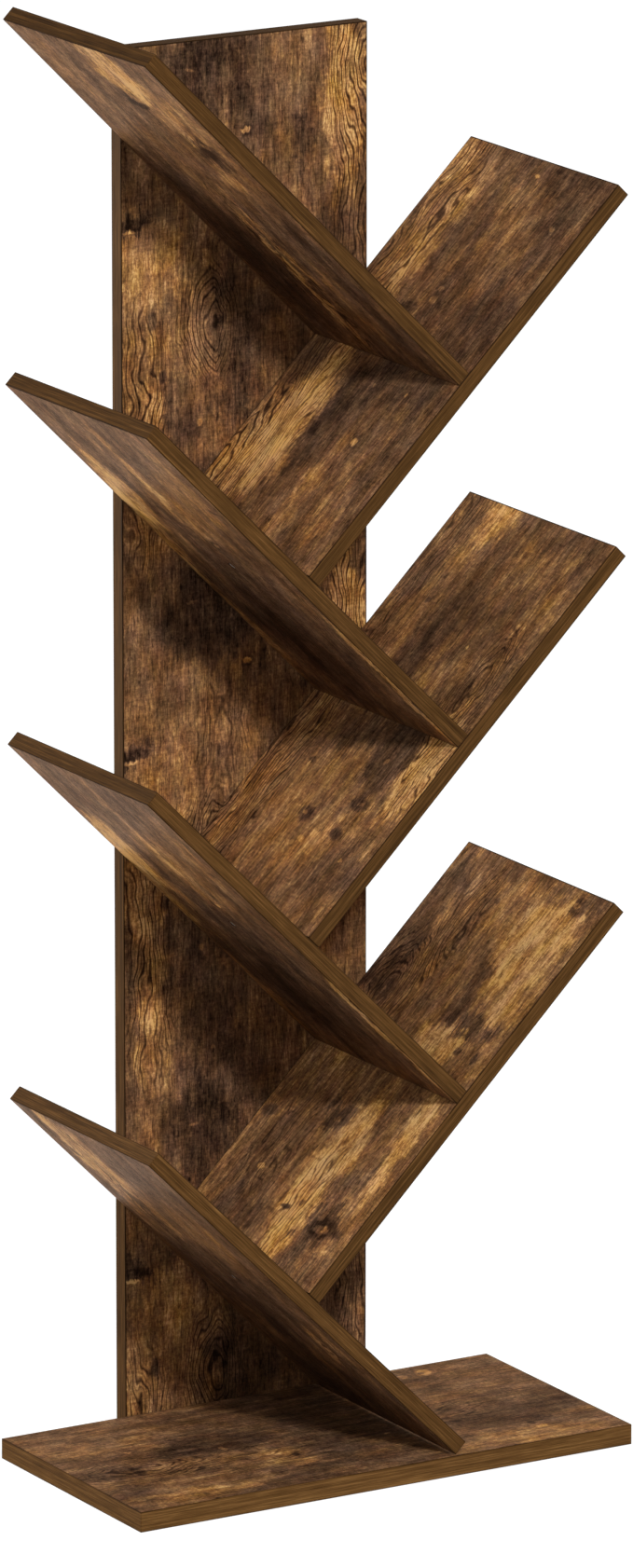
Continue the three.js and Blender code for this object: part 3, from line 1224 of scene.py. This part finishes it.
@dataclass
class Studio:
    """The floor, the lamps, the white surroundings and the camera. The lens is in mm."""

    floor_size: float = 40.0
    floor_drop: float = 0.5 * MM
    floor_shade: float = 0.35
    floor_glow: float = 0.83
    glow_reach: Pair = (1.5, 5.0)
    sky_light: float = 0.155
    lamps: tuple[Lamp, ...] = (
        Lamp("key_lamp", -16, 32, 3.6, 0.28, 126.0),
        Lamp("left_lamp", -60, 34, 3.6, 2.2, 45.0),
        Lamp("rear_lamp", -150, 4, 3.6, 1.5, 148.0),
        Lamp("right_lamp", 86, 6, 3.6, 1.8, 60.0),
    )
    aim: Triple = (0.0, 0.0, 0.5)
    eye: Triple = (-4.215, -7.1432, 2.6271)
    yaw: float = math.radians(30.564)
    pitch: float = math.radians(14.48)
    lens: float = 282.2
    sensor: float = 36.0

    def build(self) -> None:
        """Builds everything round the object."""
        self.build_floor()
        self.build_sky()
        for lamp in self.lamps:
            self.build_lamp(lamp)
        self.build_camera()

    def build_floor(self) -> None:
        """Lays a pale plain floor that is seen from above only."""
        mesh = bmesh.new()
        bmesh.ops.create_grid(mesh, x_segments=1, y_segments=1, size=self.floor_size / 2)
        bmesh.ops.translate(mesh, verts=mesh.verts, vec=(0.0, 0.0, -self.floor_drop))
        floor = finish_mesh(mesh, "floor")
        dress(floor, self.floor_material())

    def floor_material(self) -> Material:
        """Makes the floor white where it is looked at, with the object's shadow kept.

        Returns:
            The material.
        """
        material, wiring = new_material("floor_white")
        away = wiring.vector("LENGTH", wiring.node("ShaderNodeTexCoord").outputs["Object"])
        glow = wiring.ease(away, *self.glow_reach, self.floor_glow, 1.0)
        strength = wiring.math("MULTIPLY", seen_ray(wiring), glow)
        matt = wiring.node("ShaderNodeBsdfDiffuse", {"Color": opaque((self.floor_shade,) * 3)}).outputs[0]
        white = wiring.node("ShaderNodeEmission", {"Color": opaque(WHITE), "Strength": strength})
        top = wiring.node("ShaderNodeAddShader", {0: matt, 1: white.outputs[0]}).outputs[0]
        clear = wiring.node("ShaderNodeBsdfTransparent").outputs[0]
        below = wiring.node("ShaderNodeNewGeometry").outputs["Backfacing"]
        both = wiring.node("ShaderNodeMixShader", {0: below, 1: top, 2: clear}).outputs[0]
        wiring.node("ShaderNodeOutputMaterial", {"Surface": both})
        return material

    def build_sky(self) -> None:
        """Makes the surroundings white to look at and softer as a light."""
        world = bpy.data.worlds.new("white_surroundings")
        world.use_nodes = True
        world.node_tree.nodes.clear()
        wiring = Wiring(world.node_tree)
        strength = wiring.ease(seen_ray(wiring), 0.0, 1.0, self.sky_light, 1.0)
        back = wiring.node("ShaderNodeBackground", {"Color": opaque(WHITE), "Strength": strength})
        wiring.node("ShaderNodeOutputWorld", {"Surface": back.outputs[0]})
        bpy.context.scene.world = world

    def build_lamp(self, plan: Lamp) -> None:
        """Hangs one soft lamp.

        Args:
            plan: Where it hangs and how strong it is.
        """
        light = bpy.data.lights.new(plan.name, "AREA")
        light.energy = plan.power
        light.size = plan.size
        lamp = bpy.data.objects.new(plan.name, light)
        azimuth, height = math.radians(plan.azimuth), math.radians(plan.height)
        away = Vector((math.sin(azimuth) * math.cos(height), -math.cos(azimuth) * math.cos(height),
                       math.sin(height)))
        lamp.location = Vector(self.aim) + away * plan.distance
        lamp.rotation_mode = "QUATERNION"
        lamp.rotation_quaternion = (-away).to_track_quat("-Z", "Y")
        bpy.context.scene.collection.objects.link(lamp)

    def build_camera(self) -> None:
        """Sets the camera at the photograph's angle."""
        lens = bpy.data.cameras.new("camera")
        lens.lens = self.lens
        lens.sensor_width = self.sensor
        camera = bpy.data.objects.new("camera", lens)
        forward = Vector((math.sin(self.yaw) * math.cos(self.pitch),
                          math.cos(self.yaw) * math.cos(self.pitch), -math.sin(self.pitch)))
        camera.location = self.eye
        camera.rotation_mode = "QUATERNION"
        camera.rotation_quaternion = forward.to_track_quat("-Z", "Y")
        bpy.context.scene.collection.objects.link(camera)
        bpy.context.scene.camera = camera


def seen_ray(wiring: Wiring) -> Socket:
    """Gives 1 for a ray that shows the background, straight or in a reflection, and else 0.

    Args:
        wiring: The material's or the world's nodes.

    Returns:
        The mask.
    """
    ray = wiring.node("ShaderNodeLightPath").outputs
    glossy = wiring.math("MAXIMUM", ray["Is Camera Ray"], ray["Is Glossy Ray"])
    return wiring.math("MAXIMUM", glossy, ray["Is Transmission Ray"])


def main() -> None:
    """Builds the studio, dresses the boards and the screws, and reports each piece."""
    logging.basicConfig(level=logging.INFO, format="%(message)s")
    bpy.context.scene.view_settings.view_transform = "Standard"
    Studio().build()
    patterns = Patterns(Laminate(), Banding())
    pieces: list[Piece] = []
    for board in Uprights().boards() + Shelves().boards():
        pieces += board.build(patterns)
    pieces += Screws().build()
    for piece in pieces:
        log.info("%s: %d faces", piece.name, len(piece.data.polygons))


if __name__ == "__main__":
    main()
